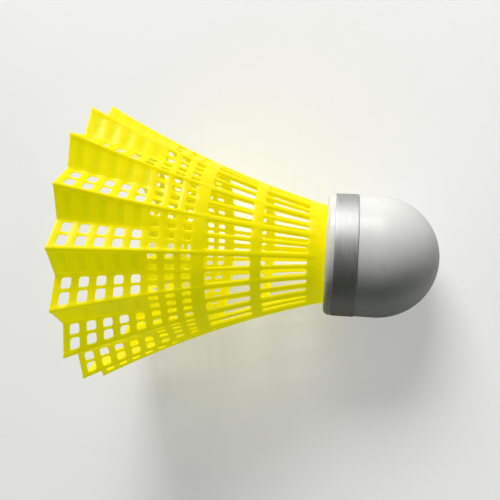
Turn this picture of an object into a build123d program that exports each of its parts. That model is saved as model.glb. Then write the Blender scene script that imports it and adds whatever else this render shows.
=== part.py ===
from build123d import *
import os
from math import asin, atan2, cos, degrees, hypot, pi, sin

# Badminton shuttlecock with a moulded nylon skirt and a covered cork head, in millimetres.
# Every piece is modelled about the local Z axis: the rim plane is z = 0 and the nose points to +Z.
# place() then lays the shuttlecock on its side, as it rests on a floor, with the nose towards +X.

# Overall sizes
SKIRT_LENGTH = 52.5  # rim plane to the top of the head
HEAD_LENGTH = 24.6
RIM_RADIUS = 32.5  # to the ridges of the pleats
COLLAR_RADIUS = 11.0
HEAD_RADIUS = 13.8

# Skirt, with stations measured from the head end of the collar towards the rim
PLEATS = 16
COLLAR_END = 4.2
UPPER_SLOT_END = 13.7
RING_END = 15.9
WINDOW_END = 24.8
BAND_END = 26.6
FIRST_ROW = 28.35
ROW_PITCH = 3.15
FINE_ROWS = 3
COARSE_ROWS = 5
PLEAT_DEPTH = 4.0  # radial height of a pleat at the rim
PLEAT_GROWTH = 1.2  # power by which the pleats deepen from the band to the rim
FLARE = 0.36  # share of the widening that grows as the square of the distance
FRAME_WALL = 1.1
MESH_WALL = 0.6
WINDOW_RIB_WIDTH = 1.2
SLOT_RIB_WIDTH = 1.0
HOLE_LENGTH = 1.75  # along the skirt, in every row
FINE_WIDTH = 1.1
COARSE_WIDTH = 0.17  # share of the pitch, so the threads between the larger holes widen with the skirt
FINE_PLACES = (-0.375, -0.125, 0.125, 0.375)  # shares of the pitch round from a valley
COARSE_PLACES = (0.135, 0.365)
MESH_STATIONS = (25.5, 31.0, 36.5, 42.0, 47.0, 52.5)

# Stem, which is moulded with the skirt and goes into the cork
CROWN_THICKNESS = 1.6
STEM_RADIUS = 6.0
STEM_BORE_RADIUS = 4.8
STEM_LENGTH = 8.6
STEM_END_WALL = 1.0
GLUE_GAP = 0.2

# Head
COVER_WALL = 0.5
COVER_GAP = 0.4  # between the collar and the cover's turned-in edge
SHOULDER_RADIUS = 1.3
CORK_BASE_LENGTH = 10.2
TAPE_START = 1.3
TAPE_WIDTH = 5.0
TAPE_WALL = 0.15

PITCH = 2 * pi / PLEATS
HEAD_TOP = SKIRT_LENGTH
DOME_CENTRE = SKIRT_LENGTH + HEAD_LENGTH - HEAD_RADIUS
CORK_RADIUS = HEAD_RADIUS - COVER_WALL


def skirt_radius(station):
    """Outer radius of the skirt's ridges at a distance from the collar's head end."""
    share = station / SKIRT_LENGTH
    grown = (1 - FLARE) * share + FLARE * share**2
    return COLLAR_RADIUS + (RIM_RADIUS - COLLAR_RADIUS) * grown


def pleat_depth(station):
    """Radial height of the pleats, from none at the solid band to full at the rim."""
    share = max(station - BAND_END, 0) / (SKIRT_LENGTH - BAND_END)
    return PLEAT_DEPTH * share**PLEAT_GROWTH


def height(station):
    return SKIRT_LENGTH - station


def star(station, inset):
    """Zigzag outline with a ridge and a valley for each pleat. The first ridge is half a pleat from +X."""
    points = []
    for step in range(2 * PLEATS):
        angle = (step + 1) * PITCH / 2
        radius = skirt_radius(station) - inset
        if step % 2:
            radius -= pleat_depth(station)
        points.append((radius * cos(angle), radius * sin(angle), height(station)))
    return Wire.make_polygon(points)


def pleated_mesh():
    """Pleated wall from the solid band to the rim, before its holes are cut."""
    outer = Solid.make_loft([star(s, 0) for s in MESH_STATIONS], ruled=True)
    inner = Solid.make_loft([star(s, MESH_WALL) for s in MESH_STATIONS], ruled=True)
    return outer - inner


def frame_cone():
    """Collar, ribs' wall, ring and band as one cone, with the crown disc and the hollow stem."""
    stations = (0, COLLAR_END, RING_END, BAND_END)
    outside = [(skirt_radius(s), height(s)) for s in stations]
    inside = [(skirt_radius(s) - FRAME_WALL, height(s)) for s in (BAND_END, RING_END, COLLAR_END)]
    crown_under = HEAD_TOP - CROWN_THICKNESS
    stem_end = HEAD_TOP + STEM_LENGTH
    middle = [
        (skirt_radius(CROWN_THICKNESS) - FRAME_WALL, crown_under),
        (STEM_BORE_RADIUS, crown_under),
        (STEM_BORE_RADIUS, stem_end - STEM_END_WALL),
        (0, stem_end - STEM_END_WALL),
        (0, stem_end),
        (STEM_RADIUS, stem_end),
        (STEM_RADIUS, HEAD_TOP),
    ]
    return turned(outside + inside + middle)


def turned(points):
    """Solid of revolution about Z from (radius, height) points."""
    outline = Polyline([(r, 0, z) for r, z in points], close=True)
    return revolve(make_face(outline), Axis.Z)


def radial_cutter(angle, start, end, start_width, end_width):
    """Prism that cuts straight out through the skirt's wall between two stations."""
    outward = Vector(cos(angle), sin(angle), 0)
    middle = (start + end) / 2
    plane = Plane(origin=(0, 0, height(middle)), x_dir=(-sin(angle), cos(angle), 0), z_dir=outward)
    half = (end - start) / 2
    outline = Polyline(
        [
            (-start_width / 2, half),
            (start_width / 2, half),
            (end_width / 2, -half),
            (-end_width / 2, -half),
        ],
        close=True,
    )
    reach = RIM_RADIUS - STEM_RADIUS
    return extrude(plane.offset(STEM_RADIUS) * make_face(outline), amount=reach)


def gaps(start, end, rib_width):
    """Gaps between two stations, with a rib of one width on every ridge and on every valley."""
    count = 2 * PLEATS
    widths = [PITCH / 2 * skirt_radius(station) - rib_width for station in (start, end)]
    return [radial_cutter((k + 0.5) * PITCH / 2, start, end, *widths) for k in range(count)]


def frame_cutters():
    """Slots between the collar and the ring, and windows between the ring and the band."""
    slots = gaps(COLLAR_END, UPPER_SLOT_END, SLOT_RIB_WIDTH)
    windows = gaps(RING_END, WINDOW_END, WINDOW_RIB_WIDTH)
    return slots + windows


def mesh_cutters():
    """Four small holes a pleat in the rows by the band, then two larger ones on one face of each pleat."""
    cutters = []
    for row in range(FINE_ROWS + COARSE_ROWS):
        centre = FIRST_ROW + row * ROW_PITCH
        ends = centre - HOLE_LENGTH / 2, centre + HOLE_LENGTH / 2
        fine = row < FINE_ROWS
        width = FINE_WIDTH if fine else COARSE_WIDTH * PITCH * skirt_radius(centre)
        places = FINE_PLACES if fine else COARSE_PLACES
        for pleat in range(PLEATS):
            for place in places:
                cutters.append(radial_cutter((pleat + place) * PITCH, *ends, width, width))
    return cutters


def nylon_skirt():
    whole = frame_cone() + pleated_mesh()
    return whole - (frame_cutters() + mesh_cutters())


def cork_base():
    """Agglomerated cork disc under the skirt's collar, with the blind bore for the stem."""
    bore = STEM_RADIUS + GLUE_GAP
    bore_end = HEAD_TOP + STEM_LENGTH
    base_end = HEAD_TOP + CORK_BASE_LENGTH
    round_off = SHOULDER_RADIUS - COVER_WALL
    body = turned(
        [
            (bore, HEAD_TOP),
            (CORK_RADIUS, HEAD_TOP),
            (CORK_RADIUS, base_end),
            (0, base_end),
            (0, bore_end),
            (bore, bore_end),
        ]
    )
    shoulder = body.edges().filter_by(GeomType.CIRCLE).group_by(Axis.Z)[0].sort_by(SortBy.RADIUS)[-1]
    return fillet(shoulder, round_off)


def domed(radius, start):
    """Cylinder from a height to the dome's centre, closed by the dome."""
    barrel = Location((0, 0, (start + DOME_CENTRE) / 2)) * Cylinder(radius, DOME_CENTRE - start)
    half_ball = Sphere(radius, arc_size1=0, align=(Align.CENTER, Align.CENTER, Align.MIN))
    dome = Location((0, 0, DOME_CENTRE)) * half_ball
    return barrel + dome


def cork_nose():
    return domed(CORK_RADIUS, HEAD_TOP + CORK_BASE_LENGTH)


def head_cover():
    """Thin skin over the cork. It turns in over the shoulder and ends just outside the collar."""
    top = HEAD_TOP - COVER_WALL
    whole = domed(HEAD_RADIUS, top)
    shoulder = whole.edges().filter_by(GeomType.CIRCLE).sort_by(Axis.Z)[0]
    whole = fillet(shoulder, SHOULDER_RADIUS)
    mouth = COLLAR_RADIUS + COVER_GAP
    mouth_cutter = Location((0, 0, HEAD_TOP)) * Cylinder(mouth, 2 * COVER_WALL)
    return whole - mouth_cutter - cork_base() - cork_nose() - stem_space()


def stem_space():
    """The bore in the cork, which the cover doesn't fill."""
    middle = HEAD_TOP + STEM_LENGTH / 2
    return Location((0, 0, middle)) * Cylinder(STEM_RADIUS + GLUE_GAP, STEM_LENGTH)


def ring(inner, outer, start, end):
    return turned([(inner, start), (outer, start), (outer, end), (inner, end)])


def head_band():
    start = HEAD_TOP + TAPE_START
    return ring(HEAD_RADIUS, HEAD_RADIUS + TAPE_WALL, start, start + TAPE_WIDTH)


def stem_glue():
    return ring(STEM_RADIUS, STEM_RADIUS + GLUE_GAP, HEAD_TOP, HEAD_TOP + STEM_LENGTH)


def nose_dip():
    """Angle of the axis below level when two ridges of the rim and the dome touch the floor."""
    foot = RIM_RADIUS * cos(PITCH / 2)
    reach = hypot(DOME_CENTRE, foot)
    return degrees(atan2(foot, DOME_CENTRE) - asin(HEAD_RADIUS / reach))


def place(pieces):
    """Lays the pieces down and puts the origin at the middle of their footprint, on the floor."""
    tilt = Rotation(0, 90 + nose_dip(), 0)
    laid = {name: tilt * piece for name, piece in pieces.items()}
    boxes = [piece.bounding_box() for piece in laid.values()]
    low_x = min(box.min.X for box in boxes)
    high_x = max(box.max.X for box in boxes)
    low_z = min(box.min.Z for box in boxes)
    shift = Location((-(low_x + high_x) / 2, 0, -low_z))
    return {name: shift * piece for name, piece in laid.items()}


pieces = {
    "nylon_skirt": nylon_skirt(),
    "cork_base": cork_base(),
    "cork_nose": cork_nose(),
    "head_cover": head_cover(),
    "head_band": head_band(),
    "stem_glue": stem_glue(),
}

os.makedirs("parts", exist_ok=True)
for name, piece in place(pieces).items():
    export_step(piece, "parts/" + name + ".step")
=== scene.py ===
from math import asin, atan2, cos, exp, hypot, pi, radians, sin

import bmesh
import bpy
from mathutils import Matrix, Vector, noise


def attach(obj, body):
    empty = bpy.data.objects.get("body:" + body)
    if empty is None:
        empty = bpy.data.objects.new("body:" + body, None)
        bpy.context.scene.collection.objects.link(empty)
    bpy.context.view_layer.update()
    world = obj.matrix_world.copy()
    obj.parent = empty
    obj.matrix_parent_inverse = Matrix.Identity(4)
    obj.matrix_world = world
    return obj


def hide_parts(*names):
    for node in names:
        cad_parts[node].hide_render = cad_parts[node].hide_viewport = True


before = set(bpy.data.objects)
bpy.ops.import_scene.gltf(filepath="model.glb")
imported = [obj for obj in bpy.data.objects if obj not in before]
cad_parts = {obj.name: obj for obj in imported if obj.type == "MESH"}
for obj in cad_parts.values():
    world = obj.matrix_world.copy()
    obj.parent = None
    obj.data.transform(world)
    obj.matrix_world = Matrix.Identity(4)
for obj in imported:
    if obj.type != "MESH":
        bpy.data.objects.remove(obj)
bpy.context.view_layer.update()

MM = 0.001

# Badminton shuttlecock, in millimetres. Pieces are made about the local Z axis, with the rim plane at z = 0
# and the nose towards +Z, and LAID places them. A station is the distance from the collar's head end towards
# the rim.

# Driving sizes, with the same values as in the CAD
SKIRT_LENGTH = 52.5
HEAD_LENGTH = 24.6
RIM_RADIUS = 32.5  # to the ridges of the pleats
COLLAR_RADIUS = 11.0
HEAD_RADIUS = 13.8
PLEATS = 16
COLLAR_END = 4.2
UPPER_SLOT_END = 13.7
RING_END = 15.9
WINDOW_END = 24.8
BAND_END = 26.6
FIRST_ROW = 28.35
ROW_PITCH = 3.15
FINE_ROWS = 3
COARSE_ROWS = 5
HOLE_LENGTH = 1.75
PLEAT_DEPTH = 4.0
PLEAT_GROWTH = 1.2
FLARE = 0.36
FRAME_WALL = 1.1
FINE_WIDTH = 1.1
COARSE_WIDTH = 0.17  # share of the pitch
COARSE_PLACES = (0.135, 0.365)  # shares of the pitch round from a valley
CROWN_THICKNESS = 1.6
STEM_RADIUS = 6.0
STEM_BORE_RADIUS = 4.8
STEM_LENGTH = 8.6
STEM_END_WALL = 1.0
COVER_WALL = 0.5
COVER_GAP = 0.4
SHOULDER_RADIUS = 1.3
TAPE_START = 1.3
TAPE_WIDTH = 5.0
TAPE_WALL = 0.15

# Sizes of the skirt that the CAD has otherwise: its mesh wall is 0.6, and its ribs are 1.0 wide beside the
# slots and 1.2 beside the windows. The CAD lists the fine holes' places on both faces of a pleat, and here
# they are those of one face, which is mirrored.
MESH_WALL = 0.62
RIDGE_RIB_WIDTH = 1.4
VALLEY_RIB_WIDTH = 1.0
FINE_PLACES = (0.125, 0.375)

# Relief of the moulding
RELIEF_START = 1.5  # station where the ridges begin to stand proud
RELIEF_LENGTH = 3
RIB_PROUD = 0.2
RIB_TOP = 0.36  # half the width of a ridge's top
FOLD_LENGTH = 4  # beyond the band, over which the round wall turns into folds
FOLD_SOFTENING = 0.06  # takes the sharpness off ridges and valleys
THREAD_DIP = 0.13  # of threads, valley ribs and webs between two hoops
HOOP_CROWN = 0.05
LAST_HOOP = 0.8  # from the rim
BEAD_START = 0.4  # from the rim
BEAD_OUT = 0.12
BEAD_IN = 0.08
COLLAR_STATIONS = (0, 0.5, 2.4)
COLLAR_CHAMFER = 0.35
CORNERS = {"frame": 0.42, "fine": 0.28, "coarse": 0.4}  # size of the openings' rounded corners
CORNER_PULL = 0.29  # share of that size, which moves a corner onto its rounding
FRAME_CELLS = 5  # across an opening of the frame, between its corners
EDGE_BEVEL = 0.24
MESH_BEVEL_SHARE = 0.6  # of EDGE_BEVEL, on the mesh's thinner edges
MESH_BEVEL_START = 0.5  # beyond the windows

# Crown disc and stem
CROWN_STEP = 0.02  # by which the disc's edge lies below the head's face
STEM_EDGE = 0.4
STEM_FILLET = 0.5
STEM_FILLET_MIDDLE = 0.14
STEM_SEGMENTS = 64

# Cover
COVER_SEGMENTS = 192
COVER_EDGE = 0.1
DOME_STEPS = 48
INNER_DOME_STEPS = 24
BARREL_STEPS = 14
SHOULDER_STEPS = 10
INNER_SHOULDER_STEPS = 6
PUCKER_DEPTH = 0.07
PUCKER_REACH = 1.6
PUCKER_SCALES = (9, 21)
PUCKER_SLANT = 0.4
UNEVENNESS = 0.02
UNEVENNESS_SCALE = 2.3

# Tape, with angles in radians
TAPE_STEPS = 260
TAPE_BEGIN = radians(40)
TAPE_LAP = 0.36  # over which the end covers the start
TAPE_CLIMB_START = 0.08  # before the lap
TAPE_CLIMB = 0.12
TAPE_LAYER = 0.8  # share of TAPE_WALL that one layer takes
TAPE_END_LAYER = 0.55
TAPE_SINK = 0.01
TAPE_DRIFT = 0.1
TAPE_WANDER = 0.03
TAPE_WANDER_SCALE = 3
TAPE_PATTERN = 3.1  # picks the noise's pattern

# Studio
CAMERA_PAST_JOINT = 0.7  # from the joint of skirt and head, towards the nose
CAMERA_TURN = radians(8.3)  # round the shuttlecock's axis, from its upper side
CAMERA_DISTANCE = 139.5
CAMERA_AIM = 34.5  # along the axis from the rim plane
CAMERA_ROLL = radians(3.0)
CAMERA_LENS = 43.5
CAMERA_SENSOR = 36.0
CAMERA_CLIP = 10
KEY_PLACE = (-40, 700, 530)
KEY_TARGET = (0, 0, 25)
KEY_SIZE = (500, 350)
KEY_POWER = 8.1
KEY_COLOUR = (1.0, 0.985, 0.96)
WORLD_COLOUR = (0.93, 1.0, 0.96, 1)
WORLD_LIGHT = 0.045
WORLD_SEEN = 0.62  # strength that only the camera sees
FLOOR_HALF = 6000
FLOOR_DROP = 0.02
FLOOR_SEEN = 0.76  # emission that only the camera sees

PITCH = 2 * pi / PLEATS
HEAD_TOP = SKIRT_LENGTH
COVER_TOP = HEAD_TOP - COVER_WALL
DOME_CENTRE = SKIRT_LENGTH + HEAD_LENGTH - HEAD_RADIUS
FOOT = RIM_RADIUS * cos(PITCH / 2)
DIP = atan2(FOOT, DOME_CENTRE) - asin(HEAD_RADIUS / hypot(DOME_CENTRE, FOOT))
AXIS = Vector((cos(DIP), 0, -sin(DIP)))
UPWARD = Vector((sin(DIP), 0, cos(DIP)))
ORIGIN = Vector(
    (
        -(DOME_CENTRE * cos(DIP) + HEAD_RADIUS - FOOT * sin(DIP)) / 2,
        0,
        HEAD_RADIUS + DOME_CENTRE * sin(DIP),
    )
)
LAID = Matrix.Translation(ORIGIN * MM) @ Matrix(
    ((-UPWARD.x, 0, AXIS.x), (0, 1, 0), (-UPWARD.z, 0, AXIS.z))
).to_4x4()
TO_LOCAL = LAID.inverted()


def smooth(share):
    share = min(max(share, 0), 1)
    return share * share * (3 - 2 * share)


def skirt_radius(station):
    """Outer radius of the skirt's ridges."""
    share = station / SKIRT_LENGTH
    return COLLAR_RADIUS + (RIM_RADIUS - COLLAR_RADIUS) * ((1 - FLARE) * share + FLARE * share**2)


def pleat_depth(station):
    """Radial height of the pleats."""
    share = max(station - BAND_END, 0) / (SKIRT_LENGTH - BAND_END)
    return PLEAT_DEPTH * share**PLEAT_GROWTH


def piece(name, points, faces, slot, *nodes):
    """Mesh object from local millimetres, in place on the root body."""
    mesh = bpy.data.meshes.new(name)
    mesh.from_pydata([LAID @ (Vector(p) * MM) for p in points], [], faces)
    mesh.update()
    made = bpy.data.objects.new(name, mesh)
    bpy.context.scene.collection.objects.link(made)
    for face in mesh.polygons:
        face.use_smooth = True
    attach(made, "root")
    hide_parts(*nodes)
    return made


def turned(profile, segments, shift=lambda height, angle: 0):
    """Points and faces of a profile turned about Z. Profile ends on the axis become one point each."""
    points, rings = [], []
    for radius, height in profile:
        if radius == 0:
            rings.append([len(points)] * segments)
            points.append((0, 0, height))
            continue
        rings.append([len(points) + k for k in range(segments)])
        for k in range(segments):
            angle = 2 * pi * k / segments
            moved = radius + shift(height, angle)
            points.append((moved * cos(angle), moved * sin(angle), height))
    faces = []
    for upper, lower in zip(rings, rings[1:]):
        for k in range(segments):
            n = (k + 1) % segments
            corners = [upper[k], lower[k], lower[n], upper[n]]
            faces.append(list(dict.fromkeys(corners)))
    return points, faces


def weight_normals(made):
    normals = made.modifiers.new("face_normals", "WEIGHTED_NORMAL")
    normals.keep_sharp = True


# ---------------------------------------------------------------- skirt

# Grid lines of one pleat, counted from its valley: 0 valley, 1 beside it, 2 to 9 across the face that has
# holes in every row, 10 to 12 over the ridge, 13 to 20 across the other face, 21 beside the next valley.
LINES = 22
VALLEY_LINE = 0
RIDGE_LINE = 11
RIDGE_LINES = (10, 11, 12)
RIB_EDGES = (9, 13)
WEB_LINES = range(14, 20)
WEB_END = 20

# Cells from a grid line to the next that are open, then the lines on which the openings begin and end
OPEN = {
    "slot": {*range(2, 9), *range(13, 20)},
    "fine": {2, 3, 4, 6, 7, 8, 13, 14, 15, 17, 18, 19},
    "coarse": {2, 3, 4, 6, 7, 8},
}
FIRST_EDGES = {"slot": (2, 13), "fine": (2, 6, 13, 17), "coarse": (2, 6, 13, 17)}
LAST_EDGES = {"slot": (9, 20), "fine": (5, 9, 16, 20), "coarse": (5, 9, 16, 20)}


def half_pleat(station, kind):
    """Angles from the valley of the eight lines across one face."""
    radius = skirt_radius(station)
    corner = CORNERS[kind] / radius
    if kind == "frame":
        first = VALLEY_RIB_WIDTH / 2 / radius
        last = PITCH / 2 - RIDGE_RIB_WIDTH / 2 / radius
        inner = last - first - 2 * corner
        middle = [first + corner + inner * k / FRAME_CELLS for k in range(FRAME_CELLS + 1)]
        return [first, *middle, last]
    width = FINE_WIDTH if kind == "fine" else COARSE_WIDTH * PITCH * radius
    half = width / 2 / radius
    lines = []
    for place in FINE_PLACES if kind == "fine" else COARSE_PLACES:
        centre = place * PITCH
        lines += [centre - half, centre - half + corner, centre + half - corner, centre + half]
    return lines


def pleat_lines(station, kind):
    """Angles from the valley of all the grid lines of one pleat."""
    half = half_pleat(station, kind)
    beside_ridge = min(RIB_TOP / skirt_radius(station), (PITCH / 2 - half[-1]) / 2)
    ridge = [PITCH / 2 - beside_ridge, PITCH / 2, PITCH / 2 + beside_ridge]
    other = [PITCH - angle for angle in reversed(half)]
    return [0, half[0] / 2, *half, *ridge, *other, PITCH - half[0] / 2]


def opening_rows():
    """(start, end, kind of grid, kind of opening) of the slots, the windows and the rows of small holes."""
    rows = [
        (COLLAR_END, UPPER_SLOT_END, "frame", "slot"),
        (RING_END, WINDOW_END, "frame", "slot"),
    ]
    for row in range(FINE_ROWS + COARSE_ROWS):
        centre = FIRST_ROW + row * ROW_PITCH
        kind = "fine" if row < FINE_ROWS else "coarse"
        rows.append((centre - HOLE_LENGTH / 2, centre + HOLE_LENGTH / 2, kind, kind))
    return rows


def grid_rows():
    """(station, kind of grid, opening after it, role) from the collar's head end to the rim.

    A row's role is start, inside or end in a row of openings, crown on the hoop between two rows, and bead
    at the rim.
    """
    found = [(station, "frame", None, None) for station in COLLAR_STATIONS]
    last_end = None
    for start, end, kind, opening in opening_rows():
        corner = CORNERS[kind]
        if last_end is not None:
            found.append(((last_end + start) / 2, kind, None, "crown"))
        found.append((start, kind, opening, "start"))
        found.append((start + corner, kind, opening, "inside"))
        if kind == "frame":
            found.append(((start + end) / 2, kind, opening, "inside"))
        found.append((end - corner, kind, opening, "inside"))
        found.append((end, kind, None, "end"))
        last_end = end
    found.append((SKIRT_LENGTH - LAST_HOOP, "coarse", None, "crown"))
    found.append((SKIRT_LENGTH - BEAD_START, "coarse", None, "bead"))
    found.append((SKIRT_LENGTH, "coarse", None, "bead"))
    return found


def face_radius(station, angle):
    """Radius of the pleated surface, from a circle by the band to straight faces at the rim."""
    ridge = skirt_radius(station)
    valley = ridge - pleat_depth(station)
    folded = min(angle, PITCH - angle)
    chord = ridge * valley * sin(PITCH / 2) / (ridge * sin(PITCH / 2 - folded) + valley * sin(folded))
    return ridge + (chord - ridge) * smooth((station - BAND_END) / FOLD_LENGTH)


def outer_radius(station, line, angle, role, opening):
    """Outside of the wall, with proud ridges, lower threads, crowned hoops and the bead at the rim."""
    if line in RIDGE_LINES:
        return skirt_radius(station) - (0 if line == RIDGE_LINE else FOLD_SOFTENING)
    radius = face_radius(station, angle) - RIB_PROUD * smooth((station - RELIEF_START) / RELIEF_LENGTH)
    if line == VALLEY_LINE:
        radius += FOLD_SOFTENING * smooth((station - BAND_END) / FOLD_LENGTH)
    at_web_end = opening == "coarse" and line == WEB_END
    if role == "inside" and line not in RIB_EDGES and not at_web_end:
        radius -= THREAD_DIP
    if role == "crown":
        radius += HOOP_CROWN
    if role == "bead":
        radius += BEAD_OUT
    return radius


def inner_radius(station, angle, role):
    """Inside of the wall, which thins from the frame's to the mesh's over the rows of fine holes."""
    thinned = smooth((station - BAND_END) / (FINE_ROWS * ROW_PITCH))
    wall = FRAME_WALL + (MESH_WALL - FRAME_WALL) * thinned
    return face_radius(station, angle) - wall - (BEAD_IN if role == "bead" else 0)


def corner_moves(line, role, hole):
    """Which way a hole's corner moves onto its rounding, along the skirt and round it."""
    if role not in ("start", "end"):
        return 0, 0
    along = 1 if role == "start" else -1
    if line in FIRST_EDGES[hole]:
        return along, 1
    if line in LAST_EDGES[hole]:
        return along, -1
    return 0, 0


def skirt_grid():
    """Outer points, inner points, the opening after each row, and 1 for each point on a face's thin web."""
    rows = grid_rows()
    outside, inside, thin = [], [], []
    for index, (station, kind, opening, role) in enumerate(rows):
        hole = opening or rows[index - 1][2]
        pull = CORNER_PULL * CORNERS[kind]
        for pleat in range(PLEATS):
            for line, angle in enumerate(pleat_lines(station, kind)):
                along, turn = corner_moves(line, role, hole)
                around = pleat * PITCH + (angle + turn * pull / skirt_radius(station))
                height = SKIRT_LENGTH - (station + along * pull)
                out = outer_radius(station, line, angle, role, opening)
                if station == 0:
                    out -= COLLAR_CHAMFER
                inn = inner_radius(station, angle, role)
                outside.append((out * cos(around), out * sin(around), height))
                inside.append((inn * cos(around), inn * sin(around), height))
                thin.append(int(opening == "coarse" and role == "inside" and line in WEB_LINES))
    return outside, inside, [row[2] for row in rows], thin


def skirt_faces(openings, count):
    """Faces of the wall, and the numbers of those that line its openings and its ends."""
    columns = PLEATS * LINES
    last_row = len(openings) - 1

    def solid(row, column):
        if not 0 <= row < last_row:
            return False
        opening = openings[row]
        return not opening or column % LINES not in OPEN[opening]

    faces, linings = [], set()
    for row in range(last_row):
        for column in range(columns):
            if not solid(row, column):
                continue
            after = (column + 1) % columns
            quad = [
                row * columns + column,
                (row + 1) * columns + column,
                (row + 1) * columns + after,
                row * columns + after,
            ]
            faces.append(quad)
            faces.append([p + count for p in reversed(quad)])
            beside = [
                (row, (column - 1) % columns),
                (row + 1, column),
                (row, after),
                (row - 1, column),
            ]
            for side, (near_row, near_column) in enumerate(beside):
                if not solid(near_row, near_column):
                    p, q = quad[side], quad[(side + 1) % 4]
                    linings.add(len(faces))
                    faces.append([q, p, p + count, q + count])
    return faces, linings


def crown_and_stem():
    """Profile of the crown disc and the hollow stem, as (radius, height), closed at the axis."""
    under = HEAD_TOP - CROWN_THICKNESS
    end = HEAD_TOP + STEM_LENGTH
    bore_end = end - STEM_END_WALL
    outer = skirt_radius(0) - FRAME_WALL / 2
    return [
        (0, end),
        (STEM_RADIUS - STEM_EDGE, end),
        (STEM_RADIUS, end - STEM_EDGE),
        (STEM_RADIUS, HEAD_TOP),
        (outer, HEAD_TOP - CROWN_STEP),
        (outer, under),
        (STEM_BORE_RADIUS + STEM_FILLET, under),
        (STEM_BORE_RADIUS + STEM_FILLET_MIDDLE, under + STEM_FILLET_MIDDLE),
        (STEM_BORE_RADIUS, under + STEM_FILLET),
        (STEM_BORE_RADIUS, bore_end - STEM_FILLET),
        (STEM_BORE_RADIUS - STEM_FILLET_MIDDLE, bore_end - STEM_FILLET_MIDDLE),
        (STEM_BORE_RADIUS - STEM_FILLET, bore_end),
        (0, bore_end),
    ]


def weigh_edges(made, wall_faces, linings):
    """Marks the edges of the openings and of both ends for the bevel, and deletes unused points."""
    bm = bmesh.new()
    bm.from_mesh(made.data)
    bm.faces.ensure_lookup_table()
    weight = bm.edges.layers.float.new("bevel_weight_edge")
    mesh_start = SKIRT_LENGTH - WINDOW_END - MESH_BEVEL_START
    for edge in bm.edges:
        kinds = [face.index in linings for face in edge.link_faces if face.index < wall_faces]
        if len(kinds) == 2 and kinds[0] != kinds[1]:
            height = (TO_LOCAL @ (sum((v.co for v in edge.verts), Vector()) / 2)).z / MM
            edge[weight] = 1.0 if height > mesh_start else MESH_BEVEL_SHARE
    loose = [v for v in bm.verts if not v.link_faces]
    bmesh.ops.delete(bm, geom=loose, context="VERTS")
    bm.to_mesh(made.data)
    bm.free()


def nylon_skirt():
    """The moulding: a wall with its openings, the crown disc and the stem."""
    outside, inside, openings, thin = skirt_grid()
    faces, linings = skirt_faces(openings, len(outside))
    wall_faces = len(faces)
    points = outside + inside
    more_points, more_faces = turned(crown_and_stem(), STEM_SEGMENTS)
    faces += [[p + len(points) for p in face] for face in more_faces]
    points += more_points

    made = piece("skirt_moulding", points, faces, "nylon", "nylon_skirt")
    # marks the thin webs, to which the nylon material gives painted shade
    thinness = made.data.attributes.new("thin", "FLOAT", "POINT")
    thinness.data.foreach_set("value", thin + thin + [0] * len(more_points))
    weigh_edges(made, wall_faces, linings)
    bevel = made.modifiers.new("moulded_edges", "BEVEL")
    bevel.limit_method = "WEIGHT"
    bevel.width = EDGE_BEVEL * MM
    bevel.segments = 2
    bevel.use_clamp_overlap = False
    weight_normals(made)
    return made


# ---------------------------------------------------------------- head


def arc(centre_radius, centre_height, radius, start, end, steps):
    """Points of an arc from one angle to another, in degrees from outward towards the nose."""
    found = []
    for k in range(steps + 1):
        angle = radians(start + (end - start) * k / steps)
        found.append((centre_radius + radius * cos(angle), centre_height + radius * sin(angle)))
    return found


def pucker(height, angle):
    """Faint folds where the cover turns in, and a slight unevenness all over it."""
    near = exp(-(((height - COVER_TOP) / PUCKER_REACH) ** 2))
    seed = Vector((cos(angle), sin(angle), PUCKER_SLANT * height / HEAD_RADIUS))
    broad, narrow = (noise.noise(seed * scale) for scale in PUCKER_SCALES)
    wave = broad + 0.5 * narrow
    return PUCKER_DEPTH * near * wave - UNEVENNESS * (1 + noise.noise(seed * UNEVENNESS_SCALE))


def head_cover():
    """The white skin, turned in over the shoulder."""
    mouth = COLLAR_RADIUS + COVER_GAP
    barrel_top = COVER_TOP + SHOULDER_RADIUS
    shoulder_centre = (HEAD_RADIUS - SHOULDER_RADIUS, barrel_top)
    outside = [(0, HEAD_TOP + HEAD_LENGTH)]
    outside += arc(0, DOME_CENTRE, HEAD_RADIUS, 90, 0, DOME_STEPS)[1:]
    for k in range(1, BARREL_STEPS):
        outside.append((HEAD_RADIUS, DOME_CENTRE + (barrel_top - DOME_CENTRE) * k / BARREL_STEPS))
    outside += arc(*shoulder_centre, SHOULDER_RADIUS, 0, -90, SHOULDER_STEPS)
    outside += [(mouth + COVER_EDGE, COVER_TOP), (mouth, COVER_TOP + COVER_EDGE)]
    cork_radius = HEAD_RADIUS - COVER_WALL
    inside = [(mouth, HEAD_TOP)]
    inside += arc(*shoulder_centre, SHOULDER_RADIUS - COVER_WALL, -90, 0, INNER_SHOULDER_STEPS)
    inside += arc(0, DOME_CENTRE, cork_radius, 0, 90, INNER_DOME_STEPS)[:-1]
    inside += [(0, DOME_CENTRE + cork_radius)]
    points, faces = turned(outside + inside, COVER_SEGMENTS, pucker)
    return piece("cover_skin", points, faces, "cover", "head_cover")


def tape_section():
    """(share of the thickness, distance across) round the tape's section, with its outer edges eased."""
    eased = 0.1
    flat = 0.5
    return [
        (0.0, 0.0),
        (0.75, 0.0),
        (1.0, eased),
        (1.0, flat),
        (1.0, TAPE_WIDTH - flat),
        (1.0, TAPE_WIDTH - eased),
        (0.75, TAPE_WIDTH),
        (0.0, TAPE_WIDTH),
    ]


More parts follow.
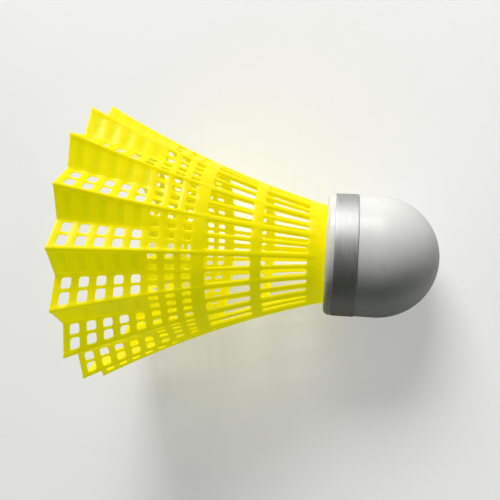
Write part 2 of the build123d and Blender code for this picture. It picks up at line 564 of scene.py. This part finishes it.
def head_band():
    """The tape, wound once round the head with its end lapped over its start."""
    section = tape_section()
    total = 2 * pi + TAPE_LAP
    points, faces = [], []
    for k in range(TAPE_STEPS + 1):
        angle = total * k / TAPE_STEPS
        lift = TAPE_WALL * smooth((angle - 2 * pi + TAPE_CLIMB_START) / TAPE_CLIMB)
        thickness = TAPE_WALL * (TAPE_LAYER if 0 < k < TAPE_STEPS else TAPE_END_LAYER)
        seed = Vector((cos(angle), sin(angle), TAPE_PATTERN)) * TAPE_WANDER_SCALE
        wander = TAPE_WANDER * noise.noise(seed)
        drift = TAPE_DRIFT * (angle / total - 0.5)
        turn = TAPE_BEGIN + angle
        for out, across in section:
            radius = HEAD_RADIUS - TAPE_SINK + lift + out * thickness
            height = HEAD_TOP + TAPE_START + across + wander + drift
            points.append((radius * cos(turn), radius * sin(turn), height))
    width = len(section)
    for k in range(TAPE_STEPS):
        for s in range(width):
            n = (s + 1) % width
            a, b = k * width, (k + 1) * width
            faces.append([a + s, b + s, b + n, a + n])
    faces.append(list(range(width)))
    faces.append(list(reversed(range(TAPE_STEPS * width, (TAPE_STEPS + 1) * width))))
    made = piece("band_tape", points, faces, "tape", "head_band")
    weight_normals(made)
    return made


# ---------------------------------------------------------------- materials


class Surface:
    """A Principled material and short ways to add its nodes."""

    def __init__(self, name, **constants):
        self.material = bpy.data.materials.new(name)
        self.material.use_nodes = True
        self.tree = self.material.node_tree
        self.shader = self.tree.nodes["Principled BSDF"]
        for socket, value in constants.items():
            self.shader.inputs[socket.replace("_", " ")].default_value = value
        where = self.tree.nodes.new("ShaderNodeTexCoord").outputs["Object"]
        turn = self.tree.nodes.new("ShaderNodeMapping")
        turn.inputs["Location"].default_value = TO_LOCAL.translation
        turn.inputs["Rotation"].default_value = TO_LOCAL.to_euler()
        self.tree.links.new(where, turn.inputs["Vector"])
        self.place = turn.outputs["Vector"]
        self.normal = None

    def link(self, start, end):
        self.tree.links.new(start, end)

    def noise(self, scale, detail=3, stretch=(1, 1, 1), distortion=0):
        stretched = self.tree.nodes.new("ShaderNodeMapping")
        stretched.inputs["Scale"].default_value = stretch
        self.link(self.place, stretched.inputs["Vector"])
        node = self.tree.nodes.new("ShaderNodeTexNoise")
        node.inputs["Scale"].default_value = scale
        node.inputs["Detail"].default_value = detail
        node.inputs["Distortion"].default_value = distortion
        self.link(stretched.outputs["Vector"], node.inputs["Vector"])
        return node.outputs["Fac"]

    def cells(self, scale, output="Distance", feature="F1"):
        node = self.tree.nodes.new("ShaderNodeTexVoronoi")
        node.feature = feature
        node.inputs["Scale"].default_value = scale
        self.link(self.place, node.inputs["Vector"])
        return node.outputs[output]

    def spread(self, value, low, high, to_low, to_high):
        """Maps low and high onto to_low and to_high, and holds the ends."""
        node = self.tree.nodes.new("ShaderNodeMapRange")
        node.inputs["From Min"].default_value = low
        node.inputs["From Max"].default_value = high
        node.inputs["To Min"].default_value = to_low
        node.inputs["To Max"].default_value = to_high
        self.link(value, node.inputs["Value"])
        return node.outputs["Result"]

    def mix(self, share, first, second):
        """Mixes two colours, each a tuple or another node's output."""
        node = self.tree.nodes.new("ShaderNodeMix")
        node.data_type = "RGBA"
        self.link(share, node.inputs["Factor"])
        # inputs 6 and 7 and output 2 are the node's colours
        for socket, colour in ((node.inputs[6], first), (node.inputs[7], second)):
            if isinstance(colour, tuple):
                socket.default_value = (*colour, 1)
            else:
                self.link(colour, socket)
        return node.outputs[2]

    def bump(self, height, strength, distance):
        """Adds a bump to those before it, with its distance in millimetres."""
        node = self.tree.nodes.new("ShaderNodeBump")
        node.inputs["Strength"].default_value = strength
        node.inputs["Distance"].default_value = distance * MM
        self.link(height, node.inputs["Height"])
        if self.normal is not None:
            self.link(self.normal, node.inputs["Normal"])
        self.normal = node.outputs["Normal"]

    def done(self, colour, roughness):
        self.link(colour, self.shader.inputs["Base Color"])
        self.link(roughness, self.shader.inputs["Roughness"])
        self.link(self.normal, self.shader.inputs["Normal"])
        return self.material


def nylon_material():
    """Translucent yellow nylon with the mould's fine grain and faint flow lines, and a painted glow in its
    emission that lifts its shaded side.
    """
    s = Surface(
        "nylon_with_painted_glow",
        Subsurface_Weight=0.55,
        Subsurface_Scale=1.3 * MM,
        Subsurface_Radius=(1.0, 0.9, 0.1),
        Specular_IOR_Level=0.2,
        # emission strength of the painted glow, which brightens the shaded side
        Emission_Strength=0.45,
    )
    clouds = s.noise(140, 2)
    flow = s.noise(500, 3, (1, 1, 0.12))
    grain = s.noise(5200, 2)
    colour = s.mix(s.spread(clouds, 0.35, 0.65, 0, 1), (0.71, 0.525, 0.001), (0.66, 0.505, 0.001))
    colour = s.mix(s.spread(flow, 0.45, 0.75, 0, 0.5), colour, (0.75, 0.565, 0.003))
    thin = s.tree.nodes.new("ShaderNodeAttribute")
    thin.attribute_name = "thin"
    # painted shade: the thin webs get a darker olive colour and a dimmer glow
    painted_web_shade = s.spread(thin.outputs["Fac"], 0, 1, 0, 0.9)
    colour = s.mix(painted_web_shade, colour, (0.62, 0.52, 0.001))
    # painted glow: an emission colour, greener than the base, that brightens and greens the shaded side
    painted_glow = s.mix(s.spread(clouds, 0.35, 0.65, 0, 1), (0.92, 0.96, 0.0), (0.86, 0.92, 0.0))
    painted_glow = s.mix(painted_web_shade, painted_glow, (0.72, 0.80, 0.0))
    s.bump(flow, 0.35, 0.05)
    s.bump(grain, 0.25, 0.012)
    s.link(painted_glow, s.shader.inputs["Emission Color"])
    return s.done(colour, s.spread(flow, 0.3, 0.7, 0.27, 0.42))


def cover_material():
    """White polyurethane skin with fine pores, a little grime and faint scuffs."""
    s = Surface("white_skin", IOR=1.5, Coat_Weight=0.15, Coat_Roughness=0.25)
    clouds = s.noise(120, 3)
    pores = s.cells(3600)
    grain = s.noise(2600, 4)
    scuffs = s.noise(700, 4, (0.25, 1, 1), 0.6)
    colour = s.mix(s.spread(clouds, 0.35, 0.7, 0, 1), (0.92, 0.93, 0.91), (0.87, 0.88, 0.86))
    colour = s.mix(s.spread(scuffs, 0.62, 0.72, 0, 0.35), colour, (0.74, 0.74, 0.72))
    s.bump(grain, 0.3, 0.03)
    s.bump(pores, 0.2, 0.02)
    return s.done(colour, s.spread(grain, 0.3, 0.7, 0.3, 0.46))


def tape_material():
    """Satin silver foil tape with fine lines along its length."""
    s = Surface("silver_tape", Metallic=1.0)
    lines = s.noise(260, 4, (1, 1, 14))
    spots = s.noise(420, 3)
    grain = s.noise(4200, 2)
    colour = s.mix(s.spread(lines, 0.35, 0.65, 0, 1), (0.52, 0.53, 0.53), (0.60, 0.61, 0.61))
    colour = s.mix(s.spread(spots, 0.55, 0.8, 0, 0.3), colour, (0.44, 0.45, 0.45))
    s.bump(lines, 0.25, 0.02)
    s.bump(grain, 0.2, 0.01)
    return s.done(colour, s.spread(lines, 0.3, 0.7, 0.58, 0.68))


def agglomerated_cork_material():
    """Pressed cork granules with dark joints."""
    s = Surface("agglomerated_cork", IOR=1.4)
    tones = s.cells(900, "Color")
    joints = s.cells(900, "Distance", "DISTANCE_TO_EDGE")
    grain = s.noise(3000, 4)
    colour = s.mix(tones, (0.44, 0.26, 0.13), (0.60, 0.39, 0.21))
    colour = s.mix(s.spread(joints, 0.0, 0.08, 1, 0), colour, (0.16, 0.08, 0.04))
    s.bump(joints, 0.5, 0.1)
    s.bump(grain, 0.4, 0.04)
    return s.done(colour, s.spread(grain, 0.3, 0.7, 0.7, 0.9))


def natural_cork_material():
    """One piece of bark cork with dark pores that run across it."""
    s = Surface("natural_cork", IOR=1.4)
    bands = s.noise(300, 4, (1, 1, 3))
    pores = s.noise(700, 3, (1, 0.3, 2), 0.4)
    grain = s.noise(2800, 4)
    colour = s.mix(s.spread(bands, 0.35, 0.65, 0, 1), (0.56, 0.36, 0.19), (0.68, 0.47, 0.27))
    colour = s.mix(s.spread(pores, 0.62, 0.7, 0, 1), colour, (0.20, 0.10, 0.05))
    s.bump(pores, 0.5, 0.12)
    s.bump(grain, 0.4, 0.03)
    return s.done(colour, s.spread(grain, 0.3, 0.7, 0.65, 0.88))


def glue_material():
    """Set adhesive, milky and a little uneven."""
    s = Surface("set_glue", IOR=1.48, Subsurface_Weight=0.3, Subsurface_Scale=1.0 * MM)
    clouds = s.noise(500, 3)
    grain = s.noise(2500, 2)
    colour = s.mix(s.spread(clouds, 0.35, 0.65, 0, 1), (0.74, 0.66, 0.46), (0.82, 0.77, 0.62))
    s.bump(clouds, 0.3, 0.05)
    s.bump(grain, 0.2, 0.02)
    return s.done(colour, s.spread(clouds, 0.3, 0.7, 0.25, 0.5))


def floor_material():
    """Pale matt floor, which the camera sees a little brighter than its light makes it."""
    s = Surface("pale_floor", IOR=1.45)
    clouds = s.noise(9, 3)
    grain = s.noise(900, 3)
    colour = s.mix(s.spread(clouds, 0.3, 0.7, 0, 1), (0.57, 0.575, 0.57), (0.54, 0.545, 0.54))
    seen = s.tree.nodes.new("ShaderNodeLightPath").outputs["Is Camera Ray"]
    s.link(colour, s.shader.inputs["Emission Color"])
    s.link(s.spread(seen, 0, 1, 0, FLOOR_SEEN), s.shader.inputs["Emission Strength"])
    s.bump(grain, 0.1, 0.05)
    return s.done(colour, s.spread(grain, 0.3, 0.7, 0.6, 0.75))


def finish_surface(obj, material):
    """Sets every material slot of an object, whether it has any yet or not."""
    if obj.material_slots:
        for holder in obj.material_slots:
            holder.material = material
    else:
        obj.data.materials.append(material)


# ---------------------------------------------------------------- studio


def floor():
    """Large flat floor, a hair under the places that touch it."""
    half = FLOOR_HALF * MM
    points = [(-half, -half, 0), (half, -half, 0), (half, half, 0), (-half, half, 0)]
    mesh = bpy.data.meshes.new("floor")
    mesh.from_pydata(points, [], [(0, 1, 2, 3)])
    made = bpy.data.objects.new("floor", mesh)
    made.location.z = -FLOOR_DROP * MM
    bpy.context.scene.collection.objects.link(made)
    made.data.materials.append(floor_material())


def key_light():
    """One large soft light, high on the +Y side."""
    data = bpy.data.lights.new("key", "AREA")
    data.shape = "RECTANGLE"
    data.size, data.size_y = (side * MM for side in KEY_SIZE)
    data.energy = KEY_POWER
    data.color = KEY_COLOUR
    made = bpy.data.objects.new("key", data)
    made.location = Vector(KEY_PLACE) * MM
    made.rotation_mode = "QUATERNION"
    made.rotation_quaternion = (Vector(KEY_TARGET) - Vector(KEY_PLACE)).to_track_quat("-Z", "Y")
    made.visible_camera = False
    bpy.context.scene.collection.objects.link(made)


def surroundings():
    """World that lights the object weakly, and that the camera sees brighter."""
    world = bpy.data.worlds.new("studio")
    bpy.context.scene.world = world
    world.use_nodes = True
    tree = world.node_tree
    background = tree.nodes["Background"]
    background.inputs["Color"].default_value = WORLD_COLOUR
    seen = tree.nodes.new("ShaderNodeLightPath").outputs["Is Camera Ray"]
    strength = tree.nodes.new("ShaderNodeMapRange")
    strength.inputs["To Min"].default_value = WORLD_LIGHT
    strength.inputs["To Max"].default_value = WORLD_SEEN
    tree.links.new(seen, strength.inputs["Value"])
    tree.links.new(strength.outputs["Result"], background.inputs["Strength"])


def camera():
    """Square to the axis over the joint of skirt and head, a little round it, with the head on the right."""
    over = ORIGIN + AXIS * (HEAD_TOP + CAMERA_PAST_JOINT)
    outward = UPWARD * cos(CAMERA_TURN) + Vector((0, -1, 0)) * sin(CAMERA_TURN)
    eye = over + outward * CAMERA_DISTANCE
    aim = ORIGIN + AXIS * CAMERA_AIM
    forward = (aim - eye).normalized()
    right = (AXIS - forward * AXIS.dot(forward)).normalized()
    up = right.cross(forward)
    level = right * cos(CAMERA_ROLL) + up * sin(CAMERA_ROLL)
    upright = up * cos(CAMERA_ROLL) - right * sin(CAMERA_ROLL)
    data = bpy.data.cameras.new("camera")
    data.sensor_width = CAMERA_SENSOR
    data.lens = CAMERA_LENS
    data.clip_start = CAMERA_CLIP * MM
    made = bpy.data.objects.new("camera", data)
    turn = Matrix((level, upright, -forward)).transposed().to_4x4()
    made.matrix_world = Matrix.Translation(eye * MM) @ turn
    bpy.context.scene.collection.objects.link(made)
    bpy.context.scene.camera = made


camera()
finish_surface(nylon_skirt(), nylon_material())
finish_surface(head_cover(), cover_material())
finish_surface(head_band(), tape_material())
finish_surface(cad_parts["cork_base"], agglomerated_cork_material())
finish_surface(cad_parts["cork_nose"], natural_cork_material())
finish_surface(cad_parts["stem_glue"], glue_material())
floor()
key_light()
surroundings()
bpy.context.scene.view_settings.view_transform = "Standard"
